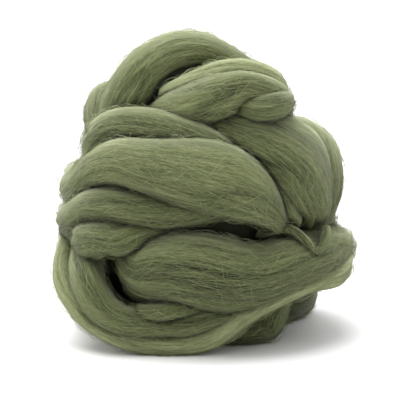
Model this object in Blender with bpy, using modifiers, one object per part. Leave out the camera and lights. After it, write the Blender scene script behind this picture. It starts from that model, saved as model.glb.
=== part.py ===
"""A nest of combed wool roving: one long soft sliver of unspun wool, folded over and over
itself and tucked into a loose heap that stands on a small flat spot.

Metres, +Z up. The front of the heap faces -Y and the origin is under the middle of its box.
The heap is one solid: every fold is a closed bolster lofted along its route, the bolsters and
a filled heart are fused into one skin, and the skin is thinned out and cut flat at the floor."""

import math
from collections import namedtuple

import bmesh
import bpy
import numpy as np
from mathutils import Matrix

MM = 0.001

# Driving sizes, in millimetres.
HEART = (0.0, 0.0, 78.0)  # the point that every fold faces away from
BOX_MIDDLE = (3.0, 6.0)  # where the middle of the finished heap's box lies in the tables below
SECTION_POINTS = 20  # points round a fold
STATION_GAP = 5.0  # between the sections along a fold
SECTION_POWER = 2.1  # 2 is an ellipse, and more is squarer
TIP_SHARE = 0.8  # of a fold's half thickness, over which each end rounds off
TIP_SIZE = 0.2  # of the full section, at the very end
FUSE_VOXEL = 1.4  # grid on which the folds are fused
SKIN_TRIANGLES = 9800  # what the fused skin is thinned to
SOFTEN_ROUNDS = 3  # of smoothing the fused skin
FLOOR_DEPTH = 30.0  # of the block that cuts the flat spot

WOOL_COLOUR = (0.13, 0.145, 0.075, 1.0)
WOOL_ROUGHNESS = 0.9

# One row for each section that shapes a fold, in millimetres: where its middle is, its full
# width along the heap's surface, and its full thickness away from the heart.
Row = namedtuple("Row", "x y z wide thick")

# The filled middle of the heap: a lump for each row.
Lump = namedtuple("Lump", "x y z half_x half_y half_z")

HEART_LUMPS = [
    Lump(-4, 6, 60, 62, 58, 46),
    Lump(-4, 6, 94, 54, 46, 42),
    Lump(26, -4, 100, 34, 32, 22),
    Lump(-30, 16, 108, 30, 32, 22),
    Lump(0, 2, 34, 54, 50, 28),
    # The pockets under the arch, and the one under the right lobe.
    Lump(12, -19, 135, 18, 12, 11),
    Lump(-24, 1, 138, 24, 14, 9),
    Lump(-6, -13, 139, 20, 14, 9),
    Lump(49, 2, 24, 16, 26, 18),
]

FOLDS = {
    # The two top loops. The arch's far end comes down across the back.
    "arch": [
        Row(-41.5, -8, 104, 28, 26),
        Row(-41, -14, 115, 28, 27),
        Row(-40, -17, 125, 27, 27),
        Row(-36, -18, 135.5, 26, 26),
        Row(-30, -17, 144.5, 26, 24),
        Row(-21.5, -14, 151, 26, 22),
        Row(-11, -11, 155, 26, 21),
        Row(1, -7, 154.5, 26, 20),
        Row(13, -2, 148.5, 25, 18),
        Row(24.5, 6, 139.5, 24, 18),
        Row(31, 16, 129, 24, 18),
        Row(34, 30, 119, 25, 18),
        Row(31, 46, 109, 27, 18),
        Row(20, 61, 97, 31, 17),
        Row(4, 72, 83, 35, 17),
        Row(-16, 77, 68, 37, 17),
        Row(-36, 72, 54, 36, 17),
        Row(-53, 58, 42, 32, 16),
        Row(-64, 38, 35, 26, 15),
        Row(-64, 18, 33, 20, 13),
    ],
    "top_lobe": [
        Row(-25, -10, 118, 14, 14),
        Row(-21, -22, 122, 18, 17),
        Row(-12, -32, 126.5, 24, 21),
        Row(0, -37, 130.5, 26, 24),
        Row(12, -38, 134, 23, 25),
        Row(22, -36, 136, 18, 23),
        Row(33, -32, 132, 21, 24),
        Row(38, -22, 127, 20, 23),
        Row(39, -8, 121, 20, 20),
        Row(34, 8, 116, 20, 18),
    ],
    "top_rim": [
        Row(-20, -22, 131, 10, 12),
        Row(-10, -30, 137, 12, 13),
        Row(0, -33, 142, 13, 13),
        Row(11, -33, 145.5, 14, 13),
        Row(22, -30, 146, 14, 13),
        Row(32.5, -25, 143, 14, 13),
        Row(39.5, -17, 137.5, 14, 13),
        Row(41.5, -6, 131, 13, 13),
    ],
    "top_tuck": [
        Row(18, -33, 127, 6, 8),
        Row(23, -39, 127, 9, 12),
        Row(30, -42, 127.5, 13, 14),
        Row(38, -40, 129.5, 15, 15),
        Row(42.5, -32, 130.5, 14, 14),
        Row(43, -20, 130, 13, 13),
    ],
    "crown": [
        Row(-48, 0, 108, 20, 16),
        Row(-40, 14, 123, 24, 20),
        Row(-24, 24, 134, 28, 22),
        Row(-2, 26, 138, 28, 22),
        Row(16, 22, 134, 26, 20),
        Row(30, 12, 126, 20, 18),
        Row(40, 2, 118, 16, 14),
    ],
    # The far-left loop, which stands up behind the arch's foot and comes down across the back.
    "far_left": [
        Row(-49.5, -6, 98, 17, 14),
        Row(-55, 4, 109, 18, 14),
        Row(-57, 14, 119, 18, 14),
        Row(-55.5, 24, 125, 18, 14),
        Row(-47, 34, 126.5, 20, 14),
        Row(-36, 44, 124, 22, 15),
        Row(-22, 53, 117, 27, 16),
        Row(-4, 60, 108, 33, 16),
        Row(16, 62, 98, 37, 16),
        Row(36, 58, 87, 38, 16),
        Row(54, 47, 76, 36, 16),
        Row(66, 28, 66, 30, 15),
        Row(69, 8, 58, 20, 13),
    ],
    # The belly bands. They start in the pinch on the right and go round the left side and the
    # back. The upper one comes over the right shoulder and down to the pinch again.
    "upper_band": [
        Row(39, -36, 70, 9, 11),
        Row(34, -40, 80, 11, 13),
        Row(27, -44, 92, 12, 14),
        Row(16, -46, 102.5, 14, 15),
        Row(4, -46, 109.5, 16, 17),
        Row(-7, -45, 113.5, 18, 19),
        Row(-18, -42, 116.5, 19, 20),
        Row(-30, -38, 118, 20, 20),
        Row(-42, -31, 117, 19, 20),
        Row(-50, -20, 111.5, 18, 20),
        Row(-53.5, -4, 105.5, 23, 20),
        Row(-54, 16, 103, 25, 20),
        Row(-48, 36, 103, 24, 20),
        Row(-28, 50, 103, 26, 20),
        Row(-4, 54, 103, 26, 20),
        Row(20, 50, 103, 26, 20),
        Row(42, 37, 103, 26, 20),
        Row(57, 19, 103.5, 26, 20),
        Row(64.5, 3, 100.5, 26, 20),
        Row(67, -6, 92, 27, 20),
        Row(67.5, -7, 83, 27, 20),
        Row(65.5, -8, 72.5, 24, 19),
        Row(59, -11, 63, 20, 17),
        Row(52, -14, 55, 14, 14),
    ],
    "broad_band": [
        Row(42, -36, 63, 9, 11),
        Row(38, -45, 70, 13, 16),
        Row(33, -50, 77.5, 21, 20),
        Row(26, -54, 84.5, 31, 22),
        Row(15, -56, 91, 37, 24),
        Row(1, -57, 95, 37.5, 24),
        Row(-13, -55, 97, 34, 24),
        Row(-27, -51, 98.5, 30, 24),
        Row(-41, -45, 99.5, 26, 24),
        Row(-52.5, -36, 94.5, 23, 22),
        Row(-61.5, -22, 84, 25, 21),
        Row(-66, -2, 79, 27, 21),
        Row(-64, 20, 77, 28, 22),
        Row(-52, 42, 79, 30, 22),
        Row(-32, 57, 81, 32, 23),
        Row(-6, 64, 82, 32, 23),
        Row(22, 62, 82, 32, 23),
        Row(45, 49, 82, 30, 22),
        Row(60, 28, 81, 30, 21),
        Row(64, 6, 80, 26, 18),
        Row(59, -12, 80, 18, 14),
    ],
    "lower_band": [
        Row(40, -37, 67, 9, 11),
        Row(27, -47, 74, 9, 13),
        Row(14, -53, 78.5, 11, 16),
        Row(0, -54, 77, 15, 18),
        Row(-16, -53, 76, 19, 20),
        Row(-29, -52, 77, 19, 20),
        Row(-42, -49, 78, 19, 20),
        Row(-55, -41, 76, 19, 20),
        Row(-64, -27, 67, 21, 20),
        Row(-68, -6, 61.5, 23, 20),
        Row(-65, 18, 61, 23, 20),
        Row(-56, 42, 60, 25, 21),
        Row(-36, 60, 57, 28, 22),
        Row(-10, 68, 56, 30, 22),
        Row(18, 68, 56, 30, 22),
        Row(44, 56, 56, 30, 21),
        Row(61, 34, 56, 28, 20),
        Row(66.5, 12, 58, 22, 17),
        Row(62, -8, 60, 15, 14),
    ],
    # The leaf-shaped fold, whose rounded end hangs over the start of the inner loop.
    "leaf_fold": [
        Row(-62, -22, 57, 11, 10),
        Row(-61.5, -34, 56, 17, 13),
        Row(-57.5, -43, 58.5, 21, 17),
        Row(-49.5, -49, 61.5, 18, 19),
        Row(-40, -52, 61.5, 18, 19),
        Row(-31, -52, 64, 13, 16),
        Row(-20, -50, 67, 8, 12),
        Row(-9, -47, 68.5, 6, 9),
    ],
    # The right shoulder, and the thin strand along its left edge.
    "shoulder": [
        Row(-6, -26, 118, 12, 14),
        Row(6, -33, 117, 18, 18),
        Row(21, -37, 114.5, 27, 22),
        Row(37, -38, 109.5, 36, 24),
        Row(50.5, -36, 100.5, 44, 25),
        Row(57, -33, 88, 40, 24),
        Row(60, -28, 76.5, 29, 22),
        Row(59, -25, 68, 20, 17),
        Row(55, -20, 60, 12, 13),
    ],
    "shoulder_seam": [
        Row(26, -43, 106, 6, 8),
        Row(33, -47, 98, 7, 11),
        Row(39, -47, 89.5, 8, 13),
        Row(43.5, -45, 80, 9, 13),
        Row(47, -41, 72, 9, 12),
        Row(50, -36, 65, 8, 10),
    ],
    # The lower belly goes round the right side as a lobe, and round the back.
    "belly": [
        Row(-36, -24, 49, 8, 8),
        Row(-38, -34, 49, 13, 13),
        Row(-34, -42, 46, 26, 21),
        Row(-27, -48, 43, 35, 28),
        Row(-16, -52, 43, 39, 31),
        Row(-3, -54, 43, 42, 34),
        Row(13, -54, 41, 42, 34),
        Row(29, -51, 41.5, 35, 31),
        Row(45, -44, 45, 30, 28),
        Row(59, -34, 46, 26, 25),
        Row(68, -19, 45.5, 25, 23),
        Row(71, 0, 44, 27, 22),
        Row(68, 24, 42, 31, 23),
        Row(54, 46, 38, 35, 25),
        Row(28, 62, 35, 37, 26),
        Row(-4, 67, 34, 37, 26),
        Row(-34, 58, 36, 36, 26),
        Row(-56, 38, 42, 32, 24),
        Row(-66, 14, 46, 29, 20),
        Row(-61, -12, 54, 22, 16),
    ],
    "right_lobe": [
        Row(44, -38, 55, 10, 10),
        Row(55, -35, 53.5, 14, 13),
        Row(65.5, -27, 52, 17, 15),
        Row(74, -13, 48.5, 18, 16),
        Row(76, 6, 46, 18, 15),
        Row(70, 26, 42, 15, 12),
    ],
    "wisp": [
        Row(44, -44, 65.5, 5, 5),
        Row(49.5, -47, 64, 5, 6),
        Row(53.5, -48, 60.5, 5, 6),
        Row(56.5, -48, 57, 5, 5),
        Row(59.5, -48, 53.5, 4, 4),
        Row(62.5, -47, 53.5, 4, 4),
        Row(65, -45, 57.5, 4, 5),
        Row(66.5, -41, 61.5, 5, 5),
        Row(66, -35, 65, 4, 5),
    ],
    # The loops along the floor. The outer one rises under the lower belly to the right lobe.
    "outer_loop": [
        Row(-63, 14, 62, 12, 12),
        Row(-66, 0, 60, 13, 12),
        Row(-71, -13, 52, 13, 11),
        Row(-73, -22, 43, 12, 11),
        Row(-72, -31, 34, 12, 12),
        Row(-66.5, -39, 26.5, 12, 13),
        Row(-59, -46, 19, 12, 13),
        Row(-46.5, -51, 12.5, 12, 14),
        Row(-34, -53, 8, 12, 14),
        Row(-17, -54, 6, 12, 14),
        Row(0, -54, 8, 12, 14),
        Row(11, -53, 13, 12, 14),
        Row(21, -52, 20.5, 12, 13),
        Row(33, -50, 27.5, 12, 13),
        Row(47, -45, 33, 13, 13),
        Row(60, -37, 36.5, 14, 13),
        Row(72, -25, 37, 16, 14),
        Row(77.5, -9, 38.5, 17, 14),
        Row(77, 9, 40, 15, 13),
    ],
    "inner_loop": [
        Row(-60, -14, 56, 12, 12),
        Row(-61, -29, 47, 17, 16),
        Row(-59.5, -40, 40.5, 21, 19),
        Row(-57.5, -47, 34, 19, 18),
        Row(-52, -52, 25.5, 15, 17),
        Row(-42.5, -55, 19, 13, 15),
        Row(-30.5, -55, 17, 12, 15),
        Row(-17, -55, 16.5, 12, 15),
        Row(-4, -55, 17.5, 12, 15),
        Row(6, -54, 20, 12, 14),
        Row(16, -52, 23, 10, 13),
        Row(27, -47, 28, 8, 11),
        Row(37, -42, 32, 6, 9),
    ],
    "lip": [
        Row(-34, -50, 24, 5, 6),
        Row(-29, -55, 22.5, 8, 9),
        Row(-21, -58, 23, 10, 10),
        Row(-13, -58.5, 24.5, 9, 9),
        Row(-5, -57, 25, 6, 7),
        Row(3, -54, 26.5, 4, 5),
    ],
    "flap": [
        Row(44, -20, 34, 12, 12),
        Row(43, -27, 26, 15, 13),
        Row(41, -31, 17, 17, 13),
        Row(37, -32, 9, 18, 14),
        Row(25, -35, 6, 16, 12),
        Row(11, -36, 6.5, 13, 11),
    ],
    "far_loop": [
        Row(36, 2, 10, 14, 14),
        Row(49, 14, 9, 15, 15),
        Row(57.5, 28, 9, 17, 16),
        Row(56, 44, 11, 22, 19),
        Row(38, 57, 13, 26, 22),
        Row(10, 63, 14, 28, 24),
        Row(-22, 60, 14, 28, 24),
        Row(-46, 44, 15, 26, 23),
        Row(-60, 20, 18, 24, 21),
        Row(-64, -4, 26, 20, 18),
        Row(-60, -24, 36, 16, 14),
    ],
    # The folds that the heap stands on.
    "front_sole": [
        Row(-58, -24, 32, 16, 14),
        Row(-44, -30, 16, 24, 17),
        Row(-20, -33, 8, 28, 18),
        Row(6, -32, 8, 28, 18),
        Row(30, -26, 12, 26, 17),
        Row(48, -14, 24, 20, 14),
    ],
    "middle_sole": [
        Row(-60, -4, 30, 20, 16),
        Row(-44, -3, 14, 32, 18),
        Row(-18, -2, 8, 38, 19),
        Row(10, 0, 8, 38, 19),
        Row(36, 2, 13, 32, 18),
        Row(54, 4, 28, 22, 16),
    ],
    "back_sole": [
        Row(-56, 24, 28, 20, 16),
        Row(-40, 30, 13, 30, 18),
        Row(-14, 36, 8, 34, 19),
        Row(14, 36, 8, 34, 19),
        Row(38, 30, 13, 30, 18),
        Row(54, 20, 28, 22, 16),
    ],
}


def make_wool():
    """The roving's one material."""
    wool = bpy.data.materials.new("wool")
    wool.use_nodes = True
    shader = wool.node_tree.nodes["Principled BSDF"]
    shader.inputs["Base Color"].default_value = WOOL_COLOUR
    shader.inputs["Roughness"].default_value = WOOL_ROUGHNESS
    shader.inputs["Metallic"].default_value = 0.0
    wool.diffuse_color = WOOL_COLOUR
    return wool


def smooth_rows(rows):
    """Rows at even steps on the Catmull-Rom curve through a fold's own rows."""
    points = np.array(rows, float)
    points = np.vstack([2 * points[0] - points[1], points, 2 * points[-1] - points[-2]])
    spans = []
    for before, start, end, after in zip(points, points[1:], points[2:], points[3:]):
        length = np.linalg.norm(end[:3] - start[:3])
        steps = max(1, round(length / STATION_GAP))
        t = (np.arange(steps) / steps)[:, None]
        spans.append(
            start
            + 0.5 * t * (end - before)
            + t**2 * (before - 2.5 * start + 2 * end - 0.5 * after)
            + 0.5 * t**3 * (after - before + 3 * (start - end))
        )
    return np.vstack([*spans, points[-2]])


def unit(vectors):
    return vectors / np.linalg.norm(vectors, axis=-1, keepdims=True)


def fold_directions(stations):
    """For each station, the way across the fold and the way out of the heap."""
    middles = stations[:, :3]
    along = unit(np.gradient(middles, axis=0))
    out = middles - np.array(HEART)
    out = unit(out - (out * along).sum(1)[:, None] * along)
    return np.cross(out, along), out


def tip_shrink(stations):
    """1 along a fold, falling off as a quarter circle over each of its tips."""
    steps = np.linalg.norm(np.diff(stations[:, :3], axis=0), axis=1)
    travelled = np.concatenate([[0.0], np.cumsum(steps)])
    to_tip = np.minimum(travelled, travelled[-1] - travelled)
    share = np.clip(to_tip / (TIP_SHARE * stations[:, 4] / 2), 0.0, 1.0)
    return np.maximum(np.sqrt(1 - (1 - share) ** 2), TIP_SIZE)


def fold_sections(rows):
    """The rings of points round a fold, as rounded, flattened sections square to its route."""
    stations = smooth_rows(rows)
    across, out = fold_directions(stations)
    shrink = tip_shrink(stations)
    angles = np.arange(SECTION_POINTS) * 2 * math.pi / SECTION_POINTS
    sides, rises = np.cos(angles), np.sin(angles)
    sides = np.sign(sides) * np.abs(sides) ** (2 / SECTION_POWER)
    rises = np.sign(rises) * np.abs(rises) ** (2 / SECTION_POWER)
    half_wide = (stations[:, 3] / 2 * shrink)[:, None, None]
    half_thick = (stations[:, 4] / 2 * shrink)[:, None, None]
    return (
        stations[:, None, :3]
        + half_wide * sides[:, None] * across[:, None, :]
        + half_thick * rises[:, None] * out[:, None, :]
    )


def add_fold(vertices, faces, rows):
    """Lofts a fold's rings into a closed skin, at the end of the lists."""
    rings = fold_sections(rows)
    first, count, around = len(vertices), len(rings), SECTION_POINTS
    vertices.extend(map(tuple, rings.reshape(-1, 3) * MM))
    for ring in range(count - 1):
        for point in range(around):
            near, far = first + ring * around, first + (ring + 1) * around
            beside = (point + 1) % around
            faces.append((near + point, far + point, far + beside, near + beside))
    faces.append(tuple(range(first, first + around)))
    last = first + (count - 1) * around
    faces.append(tuple(range(last + around - 1, last - 1, -1)))


def make_folds():
    """One mesh object that holds every fold, before they are fused."""
    vertices, faces = [], []
    for rows in FOLDS.values():
        add_fold(vertices, faces, rows)
    mesh = bpy.data.meshes.new("roving")
    mesh.from_pydata(vertices, [], faces)
    return bpy.data.objects.new("roving", mesh)


def add_heart(roving):
    """Joins the filled lumps of the heart to the folds."""
    lumps = []
    for lump in HEART_LUMPS:
        bpy.ops.mesh.primitive_uv_sphere_add(
            segments=32,
            ring_count=20,
            radius=1.0,
            location=(lump.x * MM, lump.y * MM, lump.z * MM),
        )
        ball = bpy.context.object
        ball.scale = (lump.half_x * MM, lump.half_y * MM, lump.half_z * MM)
        bpy.ops.object.transform_apply(location=True, scale=True)
        lumps.append(ball)
    for ball in lumps:
        ball.select_set(True)
    roving.select_set(True)
    bpy.context.view_layer.objects.active = roving
    bpy.ops.object.join()


def centre(roving):
    """Brings the middle of the heap's box over the origin."""
    x, y = BOX_MIDDLE
    roving.data.transform(Matrix.Translation((-x * MM, -y * MM, 0.0)))


def fuse(roving):
    """Fuses the folds and the heart into one skin, and thins it out."""
    remesh = roving.modifiers.new("fuse", "REMESH")
    remesh.mode = "VOXEL"
    remesh.voxel_size = FUSE_VOXEL * MM
    soften = roving.modifiers.new("soften", "SMOOTH")
    soften.factor = 0.5
    soften.iterations = SOFTEN_ROUNDS
    bpy.ops.object.modifier_apply(modifier=remesh.name)
    bpy.ops.object.modifier_apply(modifier=soften.name)
    keep_outer_skin(roving.data)
    roving.data.calc_loop_triangles()
    thin = roving.modifiers.new("thin_out", "DECIMATE")
    thin.ratio = SKIN_TRIANGLES / len(roving.data.loop_triangles)


def keep_outer_skin(mesh):
    """Drops the skin of any hollow left inside, which can't be reached from the top point."""
    skin = bmesh.new()
    skin.from_mesh(mesh)
    top = max(skin.verts, key=lambda vertex: vertex.co.z)
    reached, to_visit = {top}, [top]
    while to_visit:
        vertex = to_visit.pop()
        neighbours = {edge.other_vert(vertex) for edge in vertex.link_edges} - reached
        reached |= neighbours
        to_visit.extend(neighbours)
    hidden = [vertex for vertex in skin.verts if vertex not in reached]
    bmesh.ops.delete(skin, geom=hidden, context="VERTS")
    skin.to_mesh(mesh)
    skin.free()


def cut_flat_spot(roving, cutters):
    """Cuts away what is below the floor, so that the heap stands on flat patches."""
    low, high = np.array(roving.bound_box).min(0), np.array(roving.bound_box).max(0)
    bpy.ops.mesh.primitive_cube_add(size=1.0)
    floor = bpy.context.object
    floor.name = "floor_cutter"
    floor.scale = (*(2 * (high - low)[:2]), FLOOR_DEPTH * MM)
    floor.location = (0.0, 0.0, -FLOOR_DEPTH * MM / 2)
    bpy.ops.object.transform_apply(location=True, scale=True)
    floor.hide_render = True
    floor.display_type = "WIRE"
    move_to(floor, cutters)
    flat = roving.modifiers.new("flat_spot", "BOOLEAN")
    flat.operation = "DIFFERENCE"
    flat.object = floor


def move_to(thing, collection):
    for holder in list(thing.users_collection):
        holder.objects.unlink(thing)
    collection.objects.link(thing)


def new_collection(name):
    collection = bpy.data.collections.new(name)
    bpy.context.scene.collection.children.link(collection)
    return collection


def main():
    for thing in list(bpy.data.objects):
        bpy.data.objects.remove(thing)
    nest = new_collection("roving_nest")
    cutters = new_collection("cutters")
    roving = make_folds()
    nest.objects.link(roving)
    add_heart(roving)
    centre(roving)
    fuse(roving)
    cut_flat_spot(roving, cutters)
    roving.data.materials.clear()
    roving.data.materials.append(make_wool())
    roving.data.shade_smooth()


main()
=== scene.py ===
import math

import bpy
import numpy as np
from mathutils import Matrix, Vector


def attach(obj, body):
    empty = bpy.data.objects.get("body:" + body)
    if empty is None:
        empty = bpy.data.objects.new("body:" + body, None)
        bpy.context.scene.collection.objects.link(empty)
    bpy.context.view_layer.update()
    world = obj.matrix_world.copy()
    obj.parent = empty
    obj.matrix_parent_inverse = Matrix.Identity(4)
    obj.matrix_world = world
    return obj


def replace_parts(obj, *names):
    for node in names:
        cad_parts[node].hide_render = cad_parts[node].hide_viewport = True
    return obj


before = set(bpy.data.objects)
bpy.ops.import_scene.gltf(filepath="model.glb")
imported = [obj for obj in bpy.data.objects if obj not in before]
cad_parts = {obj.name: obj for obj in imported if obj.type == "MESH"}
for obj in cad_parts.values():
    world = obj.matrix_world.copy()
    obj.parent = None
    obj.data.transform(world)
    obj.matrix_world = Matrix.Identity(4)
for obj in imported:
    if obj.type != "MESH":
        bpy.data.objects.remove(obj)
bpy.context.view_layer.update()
print("frame loaded")

mm = 0.001
boxMiddle = np.array([3.0, 6.0, 0.0])  # this point of the tables stands at the frame's origin
heartPoint = np.array([0.0, 0.0, 78.0])  # every turn faces away from this point

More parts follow.
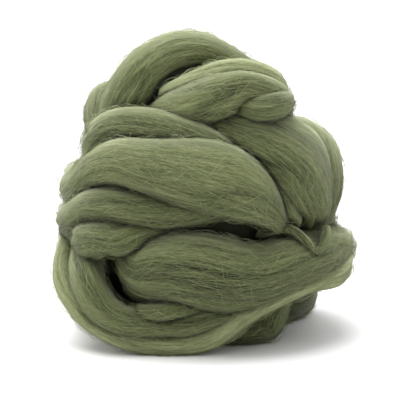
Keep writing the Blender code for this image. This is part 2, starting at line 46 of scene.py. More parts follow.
# The turns of the roving, in mm. A row is one section: x, y, z of its middle, its width along
# the heap's surface, and its thickness away from the heart.
turns = {
    "arch": [
        (-41.5, -8, 104, 28, 26), (-41, -14, 115, 28, 27), (-40, -17, 125, 27, 27),
        (-36, -18, 135.5, 26, 26), (-30, -17, 144.5, 26, 24), (-21.5, -14, 151, 26, 22),
        (-11, -11, 155, 26, 21), (1, -7, 154.5, 26, 20), (13, -2, 148.5, 25, 18), (24.5, 6, 139.5, 24, 18),
        (31, 16, 129, 24, 18), (34, 30, 119, 25, 18), (31, 46, 109, 27, 18), (20, 61, 97, 31, 17),
        (4, 72, 83, 35, 17), (-16, 77, 68, 37, 17), (-36, 72, 54, 36, 17), (-53, 58, 42, 32, 16),
        (-64, 38, 35, 26, 15), (-64, 18, 33, 20, 13),
    ],
    "topLobe": [
        (-25, -10, 118, 14, 14), (-21, -22, 122, 18, 17), (-12, -32, 126.5, 24, 21),
        (0, -37, 130.5, 26, 24), (12, -38, 134, 23, 25), (22, -36, 136, 18, 23), (33, -32, 132, 21, 24),
        (38, -22, 127, 20, 23), (39, -8, 121, 20, 20), (34, 8, 116, 20, 18),
    ],
    "topRim": [
        (-20, -22, 131, 10, 12), (-10, -30, 137, 12, 13), (0, -33, 142, 13, 13), (11, -33, 145.5, 14, 13),
        (22, -30, 146, 14, 13), (32.5, -25, 143, 14, 13), (39.5, -17, 137.5, 14, 13),
        (41.5, -6, 131, 13, 13),
    ],
    "topTuck": [
        (18, -33, 127, 6, 8), (23, -39, 127, 9, 12), (30, -42, 127.5, 13, 14), (38, -40, 129.5, 15, 15),
        (42.5, -32, 130.5, 14, 14), (43, -20, 130, 13, 13),
    ],
    "crown": [
        (-48, 0, 108, 20, 16), (-40, 14, 123, 24, 20), (-24, 24, 134, 28, 22), (-2, 26, 138, 28, 22),
        (16, 22, 134, 26, 20), (30, 12, 126, 20, 18), (40, 2, 118, 16, 14),
    ],
    "farLeft": [
        (-49.5, -6, 98, 17, 14), (-55, 4, 109, 18, 14), (-57, 14, 119, 18, 14), (-55.5, 24, 125, 18, 14),
        (-47, 34, 126.5, 20, 14), (-36, 44, 124, 22, 15), (-22, 53, 117, 27, 16), (-4, 60, 108, 33, 16),
        (16, 62, 98, 37, 16), (36, 58, 87, 38, 16), (54, 47, 76, 36, 16), (66, 28, 66, 30, 15),
        (69, 8, 58, 20, 13),
    ],
    "upperBand": [
        (39, -36, 70, 9, 11), (34, -40, 80, 11, 13), (27, -44, 92, 12, 14), (16, -46, 102.5, 14, 15),
        (4, -46, 109.5, 16, 17), (-7, -45, 113.5, 18, 19), (-18, -42, 116.5, 19, 20),
        (-30, -38, 118, 20, 20), (-42, -31, 117, 19, 20), (-50, -20, 111.5, 18, 20),
        (-53.5, -4, 105.5, 23, 20), (-54, 16, 103, 25, 20), (-48, 36, 103, 24, 20), (-28, 50, 103, 26, 20),
        (-4, 54, 103, 26, 20), (20, 50, 103, 26, 20), (42, 37, 103, 26, 20), (57, 19, 103.5, 26, 20),
        (64.5, 3, 100.5, 26, 20), (67, -6, 92, 27, 20), (67.5, -7, 83, 27, 20), (65.5, -8, 72.5, 24, 19),
        (59, -11, 63, 20, 17), (52, -14, 55, 14, 14),
    ],
    "broadBand": [
        (42, -36, 63, 9, 11), (38, -45, 70, 13, 16), (33, -50, 77.5, 21, 20), (26, -54, 84.5, 31, 22),
        (15, -56, 91, 37, 24), (1, -57, 95, 37.5, 24), (-13, -55, 97, 34, 24), (-27, -51, 98.5, 30, 24),
        (-41, -45, 99.5, 26, 24), (-52.5, -36, 94.5, 23, 22), (-61.5, -22, 84, 25, 21),
        (-66, -2, 79, 27, 21), (-64, 20, 77, 28, 22), (-52, 42, 79, 30, 22), (-32, 57, 81, 32, 23),
        (-6, 64, 82, 32, 23), (22, 62, 82, 32, 23), (45, 49, 82, 30, 22), (60, 28, 81, 30, 21),
        (64, 6, 80, 26, 18), (59, -12, 80, 18, 14),
    ],
    "lowerBand": [
        (40, -37, 67, 9, 11), (27, -47, 74, 9, 13), (14, -53, 78.5, 11, 16), (0, -54, 77, 15, 18),
        (-16, -53, 76, 19, 20), (-29, -52, 77, 19, 20), (-42, -49, 78, 19, 20), (-55, -41, 76, 19, 20),
        (-64, -27, 67, 21, 20), (-68, -6, 61.5, 23, 20), (-65, 18, 61, 23, 20), (-56, 42, 60, 25, 21),
        (-36, 60, 57, 28, 22), (-10, 68, 56, 30, 22), (18, 68, 56, 30, 22), (44, 56, 56, 30, 21),
        (61, 34, 56, 28, 20), (66.5, 12, 58, 22, 17), (62, -8, 60, 15, 14),
    ],
    "leafFold": [
        (-62, -22, 57, 11, 10), (-61.5, -34, 56, 17, 13), (-57.5, -43, 58.5, 21, 17),
        (-49.5, -49, 61.5, 18, 19), (-40, -52, 61.5, 18, 19), (-31, -52, 64, 13, 16),
        (-20, -50, 67, 8, 12), (-9, -47, 68.5, 6, 9),
    ],
    "shoulder": [
        (-6, -26, 118, 12, 14), (6, -33, 117, 18, 18), (21, -37, 114.5, 27, 22), (37, -38, 109.5, 36, 24),
        (50.5, -36, 100.5, 44, 25), (57, -33, 88, 40, 24), (60, -28, 76.5, 29, 22), (59, -25, 68, 20, 17),
        (55, -20, 60, 12, 13),
    ],
    "shoulderSeam": [
        (26, -43, 106, 6, 8), (33, -47, 98, 7, 11), (39, -47, 89.5, 8, 13), (43.5, -45, 80, 9, 13),
        (47, -41, 72, 9, 12), (50, -36, 65, 8, 10),
    ],
    "belly": [
        (-36, -24, 49, 8, 8), (-38, -34, 49, 13, 13), (-34, -42, 46, 26, 21), (-27, -48, 43, 35, 28),
        (-16, -52, 44.5, 42, 31), (-3, -54, 44.5, 45, 34), (13, -54, 41.5, 43, 34), (29, -51, 41.5, 35, 31),
        (45, -44, 45, 30, 28), (59, -34, 46, 26, 25), (68, -19, 45.5, 25, 23), (71, 0, 44, 27, 22),
        (68, 24, 42, 31, 23), (54, 46, 38, 35, 25), (28, 62, 35, 37, 26), (-4, 67, 34, 37, 26),
        (-34, 58, 36, 36, 26), (-56, 38, 42, 32, 24), (-66, 14, 46, 29, 20), (-61, -12, 54, 22, 16),
    ],
    "rightLobe": [
        (44, -38, 55, 10, 10), (55, -35, 53.5, 14, 13), (65.5, -27, 52, 17, 15), (74, -13, 48.5, 18, 16),
        (76, 6, 46, 18, 15), (70, 26, 42, 15, 12),
    ],
    "wisp": [
        (29, -48, 61.5, 4, 4), (37, -48, 65, 5, 6), (44, -46, 66, 5, 6), (49.5, -47, 64, 5, 6),
        (53.5, -48, 60.5, 5, 6), (56.5, -48, 57, 5, 5), (59.5, -48, 53.5, 4, 4),
        (62.5, -47, 53.5, 4, 4), (65, -45, 57.5, 4, 5), (66.5, -41, 61.5, 5, 5), (66, -35, 65, 4, 5),
    ],
    "outerLoop": [
        (-63, 14, 62, 12, 12), (-66, 0, 60, 13, 12), (-71, -13, 52, 13, 11), (-73, -22, 43, 12, 11),
        (-72, -31, 34, 12, 12), (-66.5, -39, 26.5, 12, 13), (-59, -46, 19, 12, 13),
        (-46.5, -51, 12.5, 12, 14), (-34, -53, 8, 12, 14), (-17, -54, 6, 12, 14), (0, -54, 8, 12, 14),
        (11, -53, 13, 12, 14), (21, -52, 20.5, 12, 13), (33, -50, 27.5, 12, 13), (47, -45, 33, 13, 13),
        (60, -37, 36.5, 14, 13), (72, -25, 37, 16, 14), (77.5, -9, 38.5, 17, 14), (77, 9, 40, 15, 13),
    ],
    "innerLoop": [
        (-60, -14, 56, 12, 12), (-61, -29, 47, 17, 16), (-59.5, -40, 40.5, 21, 19),
        (-57.5, -47, 34, 19, 18), (-52, -52, 25.5, 15, 17), (-42.5, -55, 19, 13, 15),
        (-30.5, -55, 17, 12, 15), (-17, -55, 16.5, 12, 15), (-4, -55, 17.5, 12, 15), (6, -54, 20, 12, 14),
        (16, -52, 23, 10, 13), (27, -47, 28, 8, 11), (37, -42, 32, 6, 9),
    ],
    "lip": [
        (-34, -50, 24, 5, 6), (-29, -55, 22.5, 8, 9), (-21, -58, 23, 10, 10), (-13, -58.5, 24.5, 9, 9),
        (-5, -57, 25, 6, 7), (3, -54, 26.5, 4, 5),
    ],
    "flap": [
        (44, -20, 34, 12, 12), (43, -27, 26, 15, 13), (41, -31, 17, 17, 13), (37, -32, 9, 18, 14),
        (25, -35, 6, 16, 12), (11, -36, 6.5, 13, 11),
    ],
    "farLoop": [
        (36, 2, 10, 14, 14), (49, 14, 9, 15, 15), (57.5, 28, 9, 17, 16), (56, 44, 11, 22, 19),
        (38, 57, 13, 26, 22), (10, 63, 14, 28, 24), (-22, 60, 14, 28, 24), (-46, 44, 15, 26, 23),
        (-60, 20, 18, 24, 21), (-64, -4, 26, 20, 18), (-60, -24, 36, 16, 14),
    ],
    "frontSole": [
        (-58, -24, 32, 16, 14), (-44, -30, 16, 24, 17), (-20, -33, 8, 28, 18), (6, -32, 8, 28, 18),
        (30, -26, 12, 26, 17), (48, -14, 24, 20, 14),
    ],
    "middleSole": [
        (-60, -4, 30, 20, 16), (-44, -3, 14, 32, 18), (-18, -2, 8, 38, 19), (10, 0, 8, 38, 19),
        (36, 2, 13, 32, 18), (54, 4, 28, 22, 16),
    ],
    "backSole": [
        (-56, 24, 28, 20, 16), (-40, 30, 13, 30, 18), (-14, 36, 8, 34, 19), (14, 36, 8, 34, 19),
        (38, 30, 13, 30, 18), (54, 20, 28, 22, 16),
    ],
}

# The wool inside the turns, in lumps: x, y, z and three half sizes in mm. The last one shows at
# the right foot.
heartLumps = [
    (-4, 6, 60, 62, 58, 46), (-4, 6, 94, 54, 46, 42), (26, -4, 100, 34, 32, 22),
    (-30, 16, 108, 30, 32, 22), (0, 2, 34, 54, 50, 28), (12, -19, 135, 18, 12, 11),
    (-24, 1, 138, 24, 14, 9), (-6, -13, 139, 20, 14, 9), (49, 2, 24, 16, 26, 18),
]
plainTurns = ("frontSole", "middleSole", "backSole")  # hardly seen, so they are coarser


def unit(vectors):  # each vector over its own length
    return vectors / np.maximum(np.linalg.norm(vectors, axis=-1, keepdims=True), 1e-9)


def smoothRows(rows, gap):
    # Catmull-Rom: between two rows, a cubic that leaves each along the line of its neighbours
    points = np.array(rows, float)
    points = np.vstack([2 * points[0] - points[1], points, 2 * points[-1] - points[-2]])
    spans = []
    for before, start, end, after in zip(points, points[1:], points[2:], points[3:]):
        steps = max(1, round(np.linalg.norm(end[:3] - start[:3]) / gap))
        t = (np.arange(steps) / steps)[:, None]
        spans.append(start + 0.5 * t * (end - before)
                     + t**2 * (before - 2.5 * start + 2 * end - 0.5 * after)
                     + 0.5 * t**3 * (after - before + 3 * (start - end)))
    return np.vstack([*spans, points[-2]])


def softNoise(draw, along, around, cellLength, cells):
    # -1..1: random numbers on a lattice, blended by 3t^2 - 2t^3 between its points; the lattice
    # closes on itself round the section
    a, b = np.broadcast_arrays(along / cellLength + 1.0, around * cells)
    lattice = draw.uniform(-1, 1, (int(a.max()) + 2, cells))
    i, j = np.floor(a).astype(int), np.floor(b).astype(int)
    s, t = a - i, b - j
    s, t = s * s * (3 - 2 * s), t * t * (3 - 2 * t)
    j, k = j % cells, (j + 1) % cells
    low = lattice[i, j] * (1 - t) + lattice[i, k] * t
    high = lattice[i + 1, j] * (1 - t) + lattice[i + 1, k] * t
    return low * (1 - s) + high * s


combed = {
    "stationGap": 2.4,  # mm between rings along a turn
    "pointGap": 0.72,  # mm between points round it
    "plainPointGap": 1.6,
    "fewestPoints": 16,
    "tipShare": 0.8,  # of the half thickness, over which each end rounds off
    "tipSize": 0.06,  # of the section's size, at the very end
    "fullRelief": 6.0,  # mm of half thickness, under which the relief gets shallower
    "sink": 0.3,  # mm that the relief starts below the turn's own size
    "drift": 3.0, "driftLength": 70.0,  # mm that all the locks wander sideways, and over what way
    "ownDrift": 0.7, "ownDriftLength": 55.0, "ownDriftCells": 5,  # of drift, for some locks alone
    # dark is the share of painted shade that the creases of each size get in the colour
    "lock": dict(width=9.0, length=85.0, depth=1.2, sharp=0.16, dark=1.0, fewest=3),
    "strand": dict(width=3.4, length=55.0, depth=0.5, sharp=0.24, dark=0.55, fewest=3),
    "ripple": dict(width=1.7, length=36.0, depth=0.2, fewest=6),
    "roundness": 0.6,  # of its depth, by which a lock's back stands up
    "creaseMiddle": 0.6, "creaseSpan": 0.4,  # a crease is this deep, more or less the span
    "creaseLength": 0.7,  # of the lock's length, over which its depth changes
}


def combedRelief(draw, along, around, girth):
    # creases run where a stretched noise crosses zero, wide ones between locks and narrow ones
    # between strands, over a fine ripple; a lock's height is the root of the noise's size, less a
    # bell curve on the crossing; gives the height in mm, 0..1 how much painted shade falls in a
    # crease, and the share of a turn by which the locks have swayed sideways
    sway = combed["drift"] * softNoise(draw, along, around * 0, combed["driftLength"], 1)
    own = softNoise(draw, along, around, combed["ownDriftLength"], combed["ownDriftCells"])
    sway = (sway + combed["ownDrift"] * combed["drift"] * own) / girth
    around = around + sway

    def stretched(size, lengthShare=1):  # noise in cells about as wide and long as the size says
        cells = max(size["fewest"], round(girth / size["width"]))
        return softNoise(draw, along, around, size["length"] * lengthShare, cells)

    height, creaseShade = 0.0, 0.0
    for size in (combed["lock"], combed["strand"]):
        noise = stretched(size)
        fade = combed["creaseMiddle"] + combed["creaseSpan"] * stretched(size, combed["creaseLength"])
        line = np.exp(-(noise / size["sharp"]) ** 2) * fade
        height = height + size["depth"] * (combed["roundness"] * np.sqrt(np.abs(noise)) - line)
        creaseShade = np.maximum(creaseShade, line * size["dark"])
    ripple = combed["ripple"]["depth"] * stretched(combed["ripple"])
    return height + ripple - combed["sink"], creaseShade, sway


def layTurn(draw, rows, pointGap):
    # a flattened ellipse carried square to the smooth route, with the combed relief added
    # outwards; towards each end it shrinks as the height of a quarter circle
    stations = smoothRows(rows, combed["stationGap"])
    middles = stations[:, :3]
    steps = np.linalg.norm(np.diff(middles, axis=0), axis=1)
    travelled = np.concatenate([[0.0], np.cumsum(steps)])
    along = unit(np.gradient(middles, axis=0))
    out = middles - heartPoint
    out = unit(out - (out * along).sum(1)[:, None] * along)
    across = np.cross(out, along)
    toTip = np.minimum(travelled, travelled[-1] - travelled)
    share = np.clip(toTip / (combed["tipShare"] * stations[:, 4] / 2), 0, 1)
    shrink = np.maximum(np.sqrt(1 - (1 - share) ** 2), combed["tipSize"])
    a, b = stations[:, 3] / 2, stations[:, 4] / 2
    girth = float((math.pi * (3 * (a + b) - np.sqrt((3 * a + b) * (a + 3 * b)))).max())
    count = max(combed["fewestPoints"], round(girth / pointGap))
    turn = np.arange(count) / count
    cos, sin = np.cos(2 * math.pi * turn), np.sin(2 * math.pi * turn)
    height, creaseShade, sway = combedRelief(draw, travelled[:, None], turn[None, :], girth)
    wide, thick = (a * shrink)[:, None], (b * shrink)[:, None]
    height = height * shrink[:, None] * np.minimum(1, thick / combed["fullRelief"])
    normal = unit((cos * thick)[..., None] * across[:, None]
                  + (sin * wide)[..., None] * out[:, None])
    surface = (middles[:, None] + (cos * wide)[..., None] * across[:, None]
               + (sin * thick)[..., None] * out[:, None] + height[..., None] * normal)
    surface[..., 2] = np.maximum(surface[..., 2], 0.0)  # flat where it stands
    return dict(surface=surface, normal=normal, creaseShade=creaseShade, sway=sway, travelled=travelled,
                girth=girth, middles=middles, along=along, across=across, out=out,
                wide=wide[:, 0], thick=thick[:, 0])


farAway = 99.0  # mm, more than any gap that counts
stride = 2  # every second station of a turn is tried


def nearness(points, ownTurn):
    # mm from each point to the nearest other turn or lump, and below zero inside it: an ellipse's
    # level less one, over the slope of the level there; past a turn's end, the way to its end
    least = np.full(len(points), farAway)
    for name, laid in laidTurns.items():
        if name == ownTurn:
            continue
        middles = laid["middles"][::stride].astype(np.float32)
        far = (middles**2).sum(1) - 2 * points.astype(np.float32) @ middles.T
        near = far.argmin(1) * stride
        offset = points - laid["middles"][near]
        wide, thick = laid["wide"][near], laid["thick"][near]
        a = (offset * laid["across"][near]).sum(1)
        b = (offset * laid["out"][near]).sum(1)
        past = np.abs((offset * laid["along"][near]).sum(1)) - stride * combed["stationGap"]
        level = np.hypot(a / wide, b / thick)
        slope = np.hypot(a / wide**2, b / thick**2)
        gap = (level - 1) * level / np.maximum(slope, 1e-4)
        least = np.minimum(least, np.where(past > 0, np.hypot(np.maximum(gap, 0), past), gap))
    for x, y, z, a, b, c in heartLumps:
        offset = points - (x, y, z)
        level = np.linalg.norm(offset / (a, b, c), axis=1)
        slope = np.linalg.norm(offset / (a * a, b * b, c * c), axis=1)
        least = np.minimum(least, (level - 1) * level / np.maximum(slope, 1e-4))
    return least


# painted shade in the colour where the wool is shut in between turns
hollows = {
    "reach": 2.6,  # mm out from the wool to the spot that is tested
    "fade": 1.8,  # mm from that spot to the next turn, by which the painted hollow shade is mostly gone
    "litAbove": 0.6,  # how much of the painted hollow shade is lost where the wool faces up, as painted light from above
}


def hollowness(points, facing, ownTurn):
    # 0..1, painted hollow shade: how shut in a point is, 1 where the spot a little way out from it
    # is in another turn, fading as a bell curve with the gap there, and less where the wool faces up,
    # as painted light from above
    gap = np.maximum(nearness(points + hollows["reach"] * facing, ownTurn), 0)
    shut = np.exp(-((gap / hollows["fade"]) ** 2))
    return shut * (1 - hollows["litAbove"] * np.clip(facing[:, 2], 0, 1))


def gridFaces(rings, count):
    # quads between neighbouring rings, closed round, and a fan at each end to one more point
    i, j = np.meshgrid(np.arange(rings - 1), np.arange(count), indexing="ij")
    k = (j + 1) % count
    quads = np.stack([i * count + j, (i + 1) * count + j, (i + 1) * count + k, i * count + k], -1)
    j = np.arange(count)
    k, last = (j + 1) % count, (rings - 1) * count
    start = np.stack([j, k, np.full(count, rings * count)], -1)
    finish = np.stack([last + k, last + j, np.full(count, rings * count + 1)], -1)
    return quads.reshape(-1, 4), np.vstack([start, finish])


def buildPiece(name, points, quads, triangles, uv, marks):
    # points in the tables' mm, a uv pair for each face corner, and marks with a value or a
    # direction for each point; the mesh is put in metres round the middle of the box
    mesh = bpy.data.meshes.new(name)
    corners = np.concatenate([quads.ravel(), triangles.ravel()]).astype(np.int32)
    sizes = np.concatenate([np.full(len(quads), 4), np.full(len(triangles), 3)])
    mesh.vertices.add(len(points))
    mesh.vertices.foreach_set("co", ((points - boxMiddle) * mm).astype(np.float32).ravel())
    mesh.loops.add(len(corners))
    mesh.loops.foreach_set("vertex_index", corners)
    mesh.polygons.add(len(sizes))
    starts = np.concatenate([[0], np.cumsum(sizes)[:-1]]).astype(np.int32)
    mesh.polygons.foreach_set("loop_start", starts)
    mesh.uv_layers.new(name="combed").data.foreach_set("uv", uv.astype(np.float32).ravel())
    for mark, values in marks.items():
        kind, field = ("FLOAT", "value") if values.ndim == 1 else ("FLOAT_VECTOR", "vector")
        layer = mesh.attributes.new(mark, kind, "POINT")
        layer.data.foreach_set(field, values.astype(np.float32).ravel())
    mesh.update(calc_edges=True)
    mesh.shade_smooth()
    mesh.materials.append(woolMaterial)
    piece = bpy.data.objects.new(name, mesh)
    bpy.context.scene.collection.objects.link(piece)
    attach(piece, "root")
    return piece


turnTone = -0.5  # the skin of a turn is darker than the fibres on it
turnLightAndShade = {  # painted light and shade for a turn's skin and fibres together, above 0 paler where it is lit, below 0 darker where it is in shade
    "arch": 0.3, "topLobe": 0.2, "topRim": 2.2, "topTuck": -0.4, "farLeft": -0.4, "lowerBand": -0.5,
    "leafFold": -0.4, "shoulder": -0.4, "belly": -0.3, "rightLobe": 0.6, "outerLoop": 1.7,
    "flap": -0.4, "farLoop": -0.4,
}


def turnPiece(name, laid):
    # uv is the distance along the turn and round it, in metres, so the pattern keeps its scale
    rings, count, _ = laid["surface"].shape
    ends = np.stack([laid["surface"][0].mean(0), laid["surface"][-1].mean(0)])
    points = np.vstack([laid["surface"].reshape(-1, 3), ends])
    quads, fans = gridFaces(rings, count)
    lengths = laid["travelled"] * mm
    widths = np.arange(count + 1) / count * laid["girth"] * mm
    i, j = np.meshgrid(np.arange(rings - 1), np.arange(count), indexing="ij")

    def pair(ring, point):  # the uv at a ring and a point of the grid
        return np.stack([lengths[ring], widths[point]], -1)

    quadUv = np.stack([pair(i, j), pair(i + 1, j), pair(i + 1, j + 1), pair(i, j + 1)], -2)
    j = np.arange(count)
    first, last = np.zeros(count, int), np.full(count, rings - 1)
    startUv = np.stack([pair(first, j), pair(first, j + 1), pair(first, j)], -2)
    finishUv = np.stack([pair(last, j + 1), pair(last, j), pair(last, j)], -2)
    uv = np.concatenate([part.reshape(-1, 2) for part in (quadUv, startUv, finishUv)])
    creaseShade = np.concatenate([laid["creaseShade"].ravel(), [0, 0]])
    facing = np.vstack([laid["normal"].reshape(-1, 3), -laid["along"][:1], laid["along"][-1:]])
    # painted shade in the hollows between turns
    hollow = hollowness(points, facing, name)
    # the turn's painted light and shade goes into its tone
    tone = np.full(len(points), turnTone + turnLightAndShade.get(name, 0))
    marks = {"creaseShade": creaseShade, "tone": tone, "hollow": hollow, "facing": facing}
    return buildPiece(name, points, quads, fans, uv, marks)


heartLook = {
    "rings": 24, "points": 48,  # on each lump
    # the inner wool is darkened with painted shade, in creases all over and in hollows
    "creaseShade": 0.6,
    "hollow": 0.97,  # painted shade, near the deep colour, in the deep places of the front
    "fadeFrom": -10.0, "fadeOver": 30.0, "fade": 0.3,  # mm to the back, and how much of its painted shade it then loses
    # less painted shade on the lump at the right foot
    "footHollowShade": 0.6,
}


def heartPiece():
    # an ellipsoid for each lump: rings of latitude, each a circle stretched by the half sizes
    rings, count = heartLook["rings"], heartLook["points"]
    tilt = ((np.arange(rings) + 1) / (rings + 1) * math.pi)[:, None]
    spin = np.arange(count) / count * 2 * math.pi
    ball = np.stack([np.sin(tilt) * np.cos(spin), np.sin(tilt) * np.sin(spin),
                     np.cos(tilt) + 0 * spin], -1).reshape(-1, 3)
    ball = np.vstack([ball, [[0, 0, 1], [0, 0, -1]]])
    lumps = np.array(heartLumps, float)
    points = (ball * lumps[:, None, 3:] + lumps[:, None, :3]).reshape(-1, 3)
    shift = np.arange(len(lumps))[:, None, None] * len(ball)
    quads, fans = (faces[None] + shift for faces in gridFaces(rings, count))
    quads, fans = quads.reshape(-1, 4), fans.reshape(-1, 3)
    place = points[np.concatenate([quads.ravel(), fans.ravel()])] * mm
    uv = np.stack([place[:, 0] + place[:, 1], place[:, 2]], -1)
    # painted shade, deepest at the front, less to the back and on the foot lump; it counts as facing down
    # everywhere, which gets no painted rim highlight
    back = np.clip((points[:, 1] - heartLook["fadeFrom"]) / heartLook["fadeOver"], 0, 1)
    hollow = heartLook["hollow"] - heartLook["fade"] * back
    hollow[-len(ball):] = heartLook["footHollowShade"]
    marks = {"creaseShade": np.full(len(points), heartLook["creaseShade"]), "tone": np.zeros(len(points)),
             "hollow": hollow, "facing": np.tile((0.0, 0.0, -1.0), (len(points), 1))}
    return buildPiece("innerWool", points, quads, fans, uv, marks)


def onTurn(laid, along, around):
    # blends the four nearest points of the turn's grid, at mm along it and the share round it;
    # gives the place, the outward direction and the sway of the locks there
    rings, count, _ = laid["surface"].shape
    a = np.interp(along, laid["travelled"], np.arange(rings))
    b = (around % 1.0) * count
    i, j = np.minimum(a.astype(int), rings - 2), b.astype(int) % count
    s, t = (a - i)[..., None], (b - np.floor(b))[..., None]
    k = (j + 1) % count

    def blend(grid):  # by nearness, first round the turn and then along it
        return ((grid[i, j] * (1 - t) + grid[i, k] * t) * (1 - s)
                + (grid[i + 1, j] * (1 - t) + grid[i + 1, k] * t) * s)

    return blend(laid["surface"]), unit(blend(laid["normal"])), blend(laid["sway"][..., None])[..., 0]


mostInPiece = 190000  # triangles
tubeSides = 3
nextToTip = 0.6  # of the radius, at the rings next to a tube's points


def tubes(paths, sideways, radius, thick):
    # three-sided tubes along paths (fibre, station, xyz), thick times as deep as wide, with a flat
    # side outward so that the light takes them as part of the turn, and a point at both ends;
    # radius is one value for each fibre, and sideways lies across each station
    fibres, stations, _ = paths.shape
    run = unit(np.gradient(paths, axis=1))
    side = unit(sideways - (sideways * run).sum(-1, keepdims=True) * run)
    rise = np.cross(run, side)
    rings = stations - 2
    step = np.arange(1, stations - 1)
    taper = np.minimum(1, nextToTip * np.minimum(step, stations - 1 - step))
    angle = (np.arange(tubeSides) * 2 * math.pi / tubeSides)[:, None]
    spoke = np.sin(angle) * side[:, 1:-1, None] - thick * np.cos(angle) * rise[:, 1:-1, None]
    ring = paths[:, 1:-1, None] + (radius[:, None] * taper)[..., None, None] * spoke
    ring = ring.reshape(fibres, rings * tubeSides, 3)
    points = np.concatenate([ring, paths[:, :1], paths[:, -1:]], 1)
    quads, tips = gridFaces(rings, tubeSides)
    shift = (np.arange(fibres) * points.shape[1])[:, None, None]
    return points, (quads[:, ::-1] + shift).reshape(-1, 4), (tips[:, ::-1] + shift).reshape(-1, 3)


# areaEach is the mm2 of a turn's surface for each fibre, before hidden ones are dropped. Lengths,
# radii and lifts are in mm. Lean and curl are shares of the length, and crossing is the share of
# fibres that lean more. Arch below 1 lifts a fibre soon, and tuck sinks its ends.
fibreKinds = {
    "fibres": dict(areaEach=10.6, stations=6, length=(14.0, 40.0), radius=(0.07, 0.13),
                   thick=0.5, lift=(0.0, 0.6), arch=0.5, tuck=0.35, lean=0.10, curl=0.03,
                   crossing=0.12, crossingLean=0.45, tone=(0.25, 0.75)),
    "fuzz": dict(areaEach=15.6, stations=6, length=(7.0, 24.0), radius=(0.06, 0.11),
                 thick=1.0, lift=(0.6, 2.8), arch=1.0, tuck=0.5, lean=0.45, curl=0.17,
                 crossing=0.3, crossingLean=1.2, tone=(0.4, 0.5)),
}
fuzzier = {"belly": 1.4, "rightLobe": 3.0, "flap": 1.5}  # times the fuzz of the other turns
everyFibre = {
    "firstStart": -0.1,  # of the turn's length, so that some lie right at its start
    "crossingLift": 0.2,  # mm
    "tones": (-1.5, 2.0),  # the darkest and the palest
    "shortest": 0.5,  # of its length: one that the turn's end cuts shorter is dropped
    "buried": 0.2,  # mm inside another turn, where a fibre is out of sight
    "endSharp": 6,  # the power by which only the last bit of a fibre is tucked in
    "patternGap": 0.0013, "patternLength": 0.05,  # metres on the uv, across and along
}


def layFibres(draw, name, look):
    # a fibre keeps its place round the turn, but for the sway of the locks, a lean of its own and
    # a curl of one and two half waves; it rises as a half wave and its ends are tucked in
    laid, total = laidTurns[name], laidTurns[name]["travelled"][-1]
    count = int(laid["girth"] * total / look["areaEach"])
    if look is fibreKinds["fuzz"]:
        count = int(count * fuzzier.get(name, 1))
    length = draw.uniform(*look["length"], count)
    start = draw.uniform(everyFibre["firstStart"], 1.0, count) * total
    around = draw.uniform(0, 1, count)
    crossing = draw.random(count) < look["crossing"]
    lean = draw.normal(0, 1, count) * np.where(crossing, look["crossingLean"], look["lean"])
    curl = draw.normal(0, look["curl"], (count, 2))
    lift = draw.uniform(*look["lift"], count) + crossing * everyFibre["crossingLift"]
    radius = draw.uniform(*look["radius"], count)
    # random tone, plus the turn's painted light and shade
    tone = np.clip(draw.normal(*look["tone"], count), *everyFibre["tones"]) + turnLightAndShade.get(name, 0)
    s = np.linspace(0, 1, look["stations"])[None, :]
    lean, length, curl = lean[:, None], length[:, None], curl * length[:, None]
    run = length / np.sqrt(1 + lean**2)
    along = np.clip(start[:, None] + s * run, 0, total)
    sideways = (lean * run * (s - 0.5) + curl[:, :1] * np.sin(math.pi * s)
                + curl[:, 1:] * np.sin(2 * math.pi * s))
    share = around[:, None] + sideways / laid["girth"]
    _, _, sway = onTurn(laid, along, share)
    place, normal, _ = onTurn(laid, along, share - sway)
    arch = lift[:, None] * np.sin(math.pi * s) ** look["arch"]
    rise = arch - look["tuck"] * (2 * s - 1) ** everyFibre["endSharp"]
    paths = place + rise[..., None] * normal
    paths[..., 2] = np.maximum(paths[..., 2], radius[:, None])
    long = np.ptp(along, axis=1) > everyFibre["shortest"] * run[:, 0]
    spots = [1, look["stations"] // 2, look["stations"] - 2]
    hidden = np.all([nearness(paths[:, spot], name) < -everyFibre["buried"] for spot in spots], 0)
    keep = long & ~hidden
    across = np.cross(normal, unit(np.gradient(paths, axis=1)))
    paths, normal = paths[keep], normal[keep]
    # painted shade in the hollows, at each station of each fibre
    hollow = hollowness(paths.reshape(-1, 3), normal.reshape(-1, 3), name).reshape(paths.shape[:2])
    return paths, across[keep], radius[keep], tone[keep], hollow, normal


def fibrePieces(name, batches):
    # joins the batches and splits them into pieces small enough to keep every face
    joined = (np.concatenate(part) for part in zip(*batches))
    paths, across, radius, tone, hollow, facing = joined
    rings = paths.shape[1] - 2
    trianglesEach = 2 * tubeSides * rings
    parts = math.ceil(len(paths) * trianglesEach / mostInPiece)
    ringsThenTips = np.r_[np.repeat(np.arange(1, rings + 1), tubeSides), 0, -1]
    for index, chosen in enumerate(np.array_split(np.arange(len(paths)), parts)):
        points, quads, tips = tubes(paths[chosen], across[chosen], radius[chosen],
                                    fibreKinds[name]["thick"])
        each = points.shape[1]
        v = np.repeat(np.arange(len(chosen)) * everyFibre["patternGap"], each)
        u = np.tile(np.linspace(0, everyFibre["patternLength"], each), len(chosen))
        corners = np.concatenate([quads.ravel(), tips.ravel()])
        uv = np.stack([u, v], -1)[corners]
        marks = {"creaseShade": np.zeros(points.size // 3), "tone": np.repeat(tone[chosen], each),
                 "hollow": hollow[chosen][:, ringsThenTips].ravel(),
                 "facing": facing[chosen][:, ringsThenTips].reshape(-1, 3)}
        piece = buildPiece(f"{name}_{index + 1}", points.reshape(-1, 3), quads, tips, uv, marks)
        piece.data.polygons.foreach_set("use_smooth", np.zeros(len(piece.data.polygons), bool))
        piece.visible_shadow = False  # else so many fibres darken the wool that they lie on
        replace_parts(piece, "roving")
    print(name, len(paths), "in", parts, "pieces")


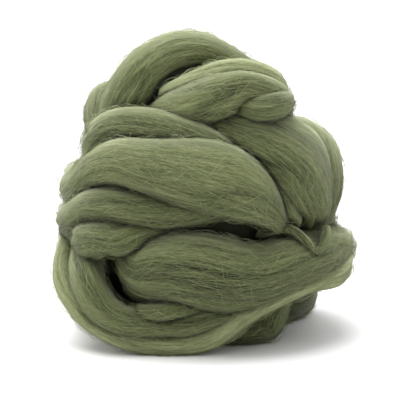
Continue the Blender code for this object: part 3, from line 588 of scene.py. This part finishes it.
woolLook = {
    # deep is the colour of painted shade in hollows and creases, and the ramp's darkest stop
    "deep": (0.010, 0.012, 0.005), "dark": (0.100, 0.117, 0.048),
    "middle": (0.172, 0.197, 0.082), "light": (0.330, 0.365, 0.190),
    "stops": {"deep": 0.10, "dark": 0.40, "middle": 0.56, "light": 0.82},  # the levels of each
    "roughness": 0.65, "specular": 0.2,
    "sheen": 0.12, "sheenRoughness": 0.4, "sheenTint": (0.92, 0.95, 0.80),
    "noiseRoughness": 0.6, "noiseBend": 0.6,
    # mm along and across the wool, the detail of the noise and a shift of it
    "broad": dict(length=44.0, width=3.0, detail=2, shift=3.0),
    "streak": dict(length=22.0, width=0.75, detail=3, shift=7.0),
    "hair": dict(length=12.0, width=0.9), "hairSharp": 14.0,
    "hairLeans": ((-13, 1.0), (-4, 5.0), (5, 9.0), (14, 13.0)),  # degrees, and a shift
    "broadLight": 0.40, "streakLight": 0.45, "hairLight": 0.22, "toneLight": 0.13,
    # painted shade in the creases: how much they lower the level
    "creaseShadeStrength": 0.30,
    "hollowDark": 0.95,  # painted shade: how far a shut-in place goes to the deep colour
    "rimHighlight": (0.66, 0.71, 0.46), "rimPower": 1.9, "rimLight": 0.80,  # painted rim highlight: the colour goes paler edge on
    "rimBelow": 0.08,  # its share where the wool faces sideways: all where up, none where down, as painted light from above
    "bumpStrength": 0.5, "bumpHeight": 0.0004, "streakBump": 0.6,  # the height is in metres
}


def makeWool():
    # streaks are noise on the piece's own uv, squeezed hard round the turn and stretched along
    # it, and the level of a colour ramp is a sum of shares of them; painted shade darkens the colour
    # in creases and hollows, a painted rim highlight pales it edge on, and fine hairs lift the surface
    material = bpy.data.materials.new("combedWool")
    material.use_nodes = True
    nodes, links = material.node_tree.nodes, material.node_tree.links
    shader = nodes["Principled BSDF"]
    shader.inputs["Roughness"].default_value = woolLook["roughness"]
    shader.inputs["Sheen Weight"].default_value = woolLook["sheen"]
    shader.inputs["Sheen Roughness"].default_value = woolLook["sheenRoughness"]
    shader.inputs["Sheen Tint"].default_value = (*woolLook["sheenTint"], 1)
    shader.inputs["Specular IOR Level"].default_value = woolLook["specular"]

    def add(kind, **settings):  # a node of this kind with its settings
        node = nodes.new(kind)
        for key, value in settings.items():
            setattr(node, key, value)
        return node

    place = add("ShaderNodeUVMap", uv_map="combed")

    def streaks(length, width, detail, shift, lean=0):
        # noise stretched along the wool; lean turns it by some degrees
        scale = add("ShaderNodeMapping", vector_type="TEXTURE")
        scale.inputs["Scale"].default_value = (length * mm, width * mm, 1)
        scale.inputs["Rotation"].default_value = (0, 0, math.radians(lean))
        scale.inputs["Location"].default_value = (shift, shift, 0)
        links.new(place.outputs["UV"], scale.inputs["Vector"])
        noise = add("ShaderNodeTexNoise")
        noise.inputs["Scale"].default_value = 1.0
        noise.inputs["Detail"].default_value = detail
        noise.inputs["Roughness"].default_value = woolLook["noiseRoughness"]
        noise.inputs["Distortion"].default_value = woolLook["noiseBend"]
        links.new(scale.outputs["Vector"], noise.inputs["Vector"])
        return noise.outputs["Fac"]

    def calc(operation, a, b, clamp=False):  # a Math node on two numbers or sockets
        node = add("ShaderNodeMath", operation=operation, use_clamp=clamp)
        for socket, value in zip(node.inputs, (a, b)):
            if isinstance(value, (int, float)):
                socket.default_value = value
            else:
                links.new(value, socket)
        return node.outputs["Value"]

    def mark(name):  # reads a mark that buildPiece gave to each point
        return add("ShaderNodeAttribute", attribute_name=name)

    def hairs(lean, shift):
        # thin lines of 1 where the noise crosses its middle, 0 between them
        noise = streaks(**woolLook["hair"], detail=0, shift=shift, lean=lean)
        away = calc("ABSOLUTE", calc("SUBTRACT", noise, 0.5), 0)
        return calc("SUBTRACT", 1.0, calc("MULTIPLY", away, woolLook["hairSharp"]), clamp=True)

    broad = streaks(**woolLook["broad"])
    streak = streaks(**woolLook["streak"])
    hair = 0.0
    for lean, shift in woolLook["hairLeans"]:
        hair = calc("MAXIMUM", hairs(lean, shift), hair)
    level = calc("MULTIPLY", broad, woolLook["broadLight"])
    # tone is random tone plus each turn's painted light and shade
    tone = mark("tone").outputs["Fac"]
    for part, share in ((streak, "streakLight"), (hair, "hairLight"), (tone, "toneLight")):
        level = calc("ADD", level, calc("MULTIPLY", part, woolLook[share]))
    # painted shade in the creases lowers the level towards the deep colour
    creaseShade = calc("MULTIPLY", mark("creaseShade").outputs["Fac"], woolLook["creaseShadeStrength"])
    level = calc("SUBTRACT", level, creaseShade, clamp=True)
    ramp = add("ShaderNodeValToRGB")
    stops = ramp.color_ramp.elements
    for stop, name in ((stops[0], "deep"), (stops[1], "light")):
        stop.position = woolLook["stops"][name]
        stop.color = (*woolLook[name], 1)
    for name in ("dark", "middle"):
        stops.new(woolLook["stops"][name]).color = (*woolLook[name], 1)
    links.new(level, ramp.inputs["Fac"])

    def towards(colour, name, share):
        # the colour mixed with a named one by the share; 6, 7 and 2 are the node's colour sockets
        node = add("ShaderNodeMix", data_type="RGBA")
        links.new(share, node.inputs["Factor"])
        links.new(colour, node.inputs[6])
        node.inputs[7].default_value = (*woolLook[name], 1)
        return node.outputs[2]

    # painted rim highlight: paler edge on, most where the wool faces up
    edge = add("ShaderNodeLayerWeight")
    facing = mark("facing").outputs["Vector"]
    links.new(facing, edge.inputs["Normal"])
    split = add("ShaderNodeSeparateXYZ")
    links.new(facing, split.inputs["Vector"])
    upward = calc("ADD", split.outputs["Z"], woolLook["rimBelow"], clamp=True)
    rimHighlight = calc("MULTIPLY", calc("POWER", edge.outputs["Facing"], woolLook["rimPower"]), upward)
    colour = towards(ramp.outputs["Color"], "rimHighlight", calc("MULTIPLY", rimHighlight, woolLook["rimLight"]))
    # painted shade: shut-in places go towards the deep colour
    hollow = mark("hollow").outputs["Fac"]
    colour = towards(colour, "deep", calc("MULTIPLY", hollow, woolLook["hollowDark"]))
    links.new(colour, shader.inputs["Base Color"])
    bump = add("ShaderNodeBump")
    bump.inputs["Strength"].default_value = woolLook["bumpStrength"]
    bump.inputs["Distance"].default_value = woolLook["bumpHeight"]
    height = calc("ADD", calc("MULTIPLY", streak, woolLook["streakBump"]), hair)
    links.new(height, bump.inputs["Height"])
    links.new(bump.outputs["Normal"], shader.inputs["Normal"])
    return material


woolMaterial = makeWool()
print("material made")


seed = 7  # another seed combs the same turns another way
draw = np.random.default_rng(seed)
laidTurns = {}
for name, rows in turns.items():
    gap = combed["plainPointGap"] if name in plainTurns else combed["pointGap"]
    laidTurns[name] = layTurn(draw, rows, gap)
for name, laid in laidTurns.items():
    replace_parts(turnPiece(name, laid), "roving")
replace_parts(heartPiece(), "roving")
print("turns laid")
for kind, look in fibreKinds.items():
    fibrePieces(kind, [layFibres(draw, name, look) for name in turns if name not in plainTurns])


studio = {
    "lens": 147.3, "sensor": 36.0, "distance": 0.9, "elevation": 10.0,
    "target": (-0.003, -0.006, 0.0724),
    "sun": 3.3, "sunFrom": (-0.2, 0.12, 1.0), "sunSpread": 50.0,
    # the white round the heap: an axis, where on it the light begins and where it is full, and
    # how bright it is there; the front is -Y
    "sky": {
        "left": ("X", 0.0, -0.9, 0.75), "right": ("X", 0.0, 0.9, 0.38),
        "front": ("Y", 0.1, -0.9, 0.12), "back": ("Y", -0.9, 0.1, 1.0), "top": ("Z", 0.2, 0.9, 0.3),
    },
    "floorHalf": 12.0, "floorGrey": 0.85, "floorRoughness": 0.6,
}


def placeCamera():
    # it looks down at the target from the front, tilted by the elevation
    tilt = math.radians(studio["elevation"])
    back = Vector((0, -math.cos(tilt), math.sin(tilt)))
    camera = bpy.data.objects.new("camera", bpy.data.cameras.new("camera"))
    camera.data.lens = studio["lens"]
    camera.data.sensor_width = studio["sensor"]
    camera.location = Vector(studio["target"]) + back * studio["distance"]
    camera.rotation_euler = (-back).to_track_quat("-Z", "Y").to_euler()
    bpy.context.scene.collection.objects.link(camera)
    bpy.context.scene.camera = camera


def placeSun():
    # a wide sun, nearly overhead
    sun = bpy.data.objects.new("sun", bpy.data.lights.new("sun", "SUN"))
    sun.data.energy = studio["sun"]
    sun.data.angle = math.radians(studio["sunSpread"])
    sun.rotation_euler = Vector(studio["sunFrom"]).to_track_quat("Z", "Y").to_euler()
    bpy.context.scene.collection.objects.link(sun)


def paintSky():
    # white all round, as bright as the sum of a smooth step along each direction in the table
    world = bpy.data.worlds.new("studio")
    bpy.context.scene.world = world
    world.use_nodes = True
    nodes, links = world.node_tree.nodes, world.node_tree.links
    split = nodes.new("ShaderNodeSeparateXYZ")
    links.new(nodes.new("ShaderNodeTexCoord").outputs["Generated"], split.inputs["Vector"])
    total = None
    for axis, begins, full, bright in studio["sky"].values():
        spread = nodes.new("ShaderNodeMapRange")
        spread.interpolation_type = "SMOOTHSTEP"
        links.new(split.outputs[axis], spread.inputs["Value"])
        spread.inputs["From Min"].default_value = begins
        spread.inputs["From Max"].default_value = full
        spread.inputs["To Max"].default_value = bright
        summed = nodes.new("ShaderNodeMath")
        links.new(spread.outputs["Result"], summed.inputs[0])
        summed.inputs[1].default_value = 0
        if total:
            links.new(total, summed.inputs[1])
        total = summed.outputs["Value"]
    seen = nodes.new("ShaderNodeMix")  # the camera sees plain white past the floor's edge
    links.new(nodes.new("ShaderNodeLightPath").outputs["Is Camera Ray"], seen.inputs["Factor"])
    links.new(total, seen.inputs["A"])
    seen.inputs["B"].default_value = 1.0
    links.new(seen.outputs["Result"], nodes["Background"].inputs["Strength"])
    nodes["Background"].inputs["Color"].default_value = (1, 1, 1, 1)
    bpy.context.scene.view_settings.view_transform = "Standard"


def layFloor():
    # one pale square, at the height on which the heap stands
    half = studio["floorHalf"]
    mesh = bpy.data.meshes.new("floor")
    corners = [(-half, -half, 0), (half, -half, 0), (half, half, 0), (-half, half, 0)]
    mesh.from_pydata(corners, [], [(0, 1, 2, 3)])
    material = bpy.data.materials.new("paleFloor")
    material.use_nodes = True
    shader = material.node_tree.nodes["Principled BSDF"]
    grey = studio["floorGrey"]
    shader.inputs["Base Color"].default_value = (grey, grey, grey, 1)
    shader.inputs["Roughness"].default_value = studio["floorRoughness"]
    mesh.materials.append(material)
    floor = bpy.data.objects.new("floor", mesh)
    bpy.context.scene.collection.objects.link(floor)


placeCamera()
placeSun()
paintSky()
layFloor()
print("studio lit")

bpy.context.view_layer.update()
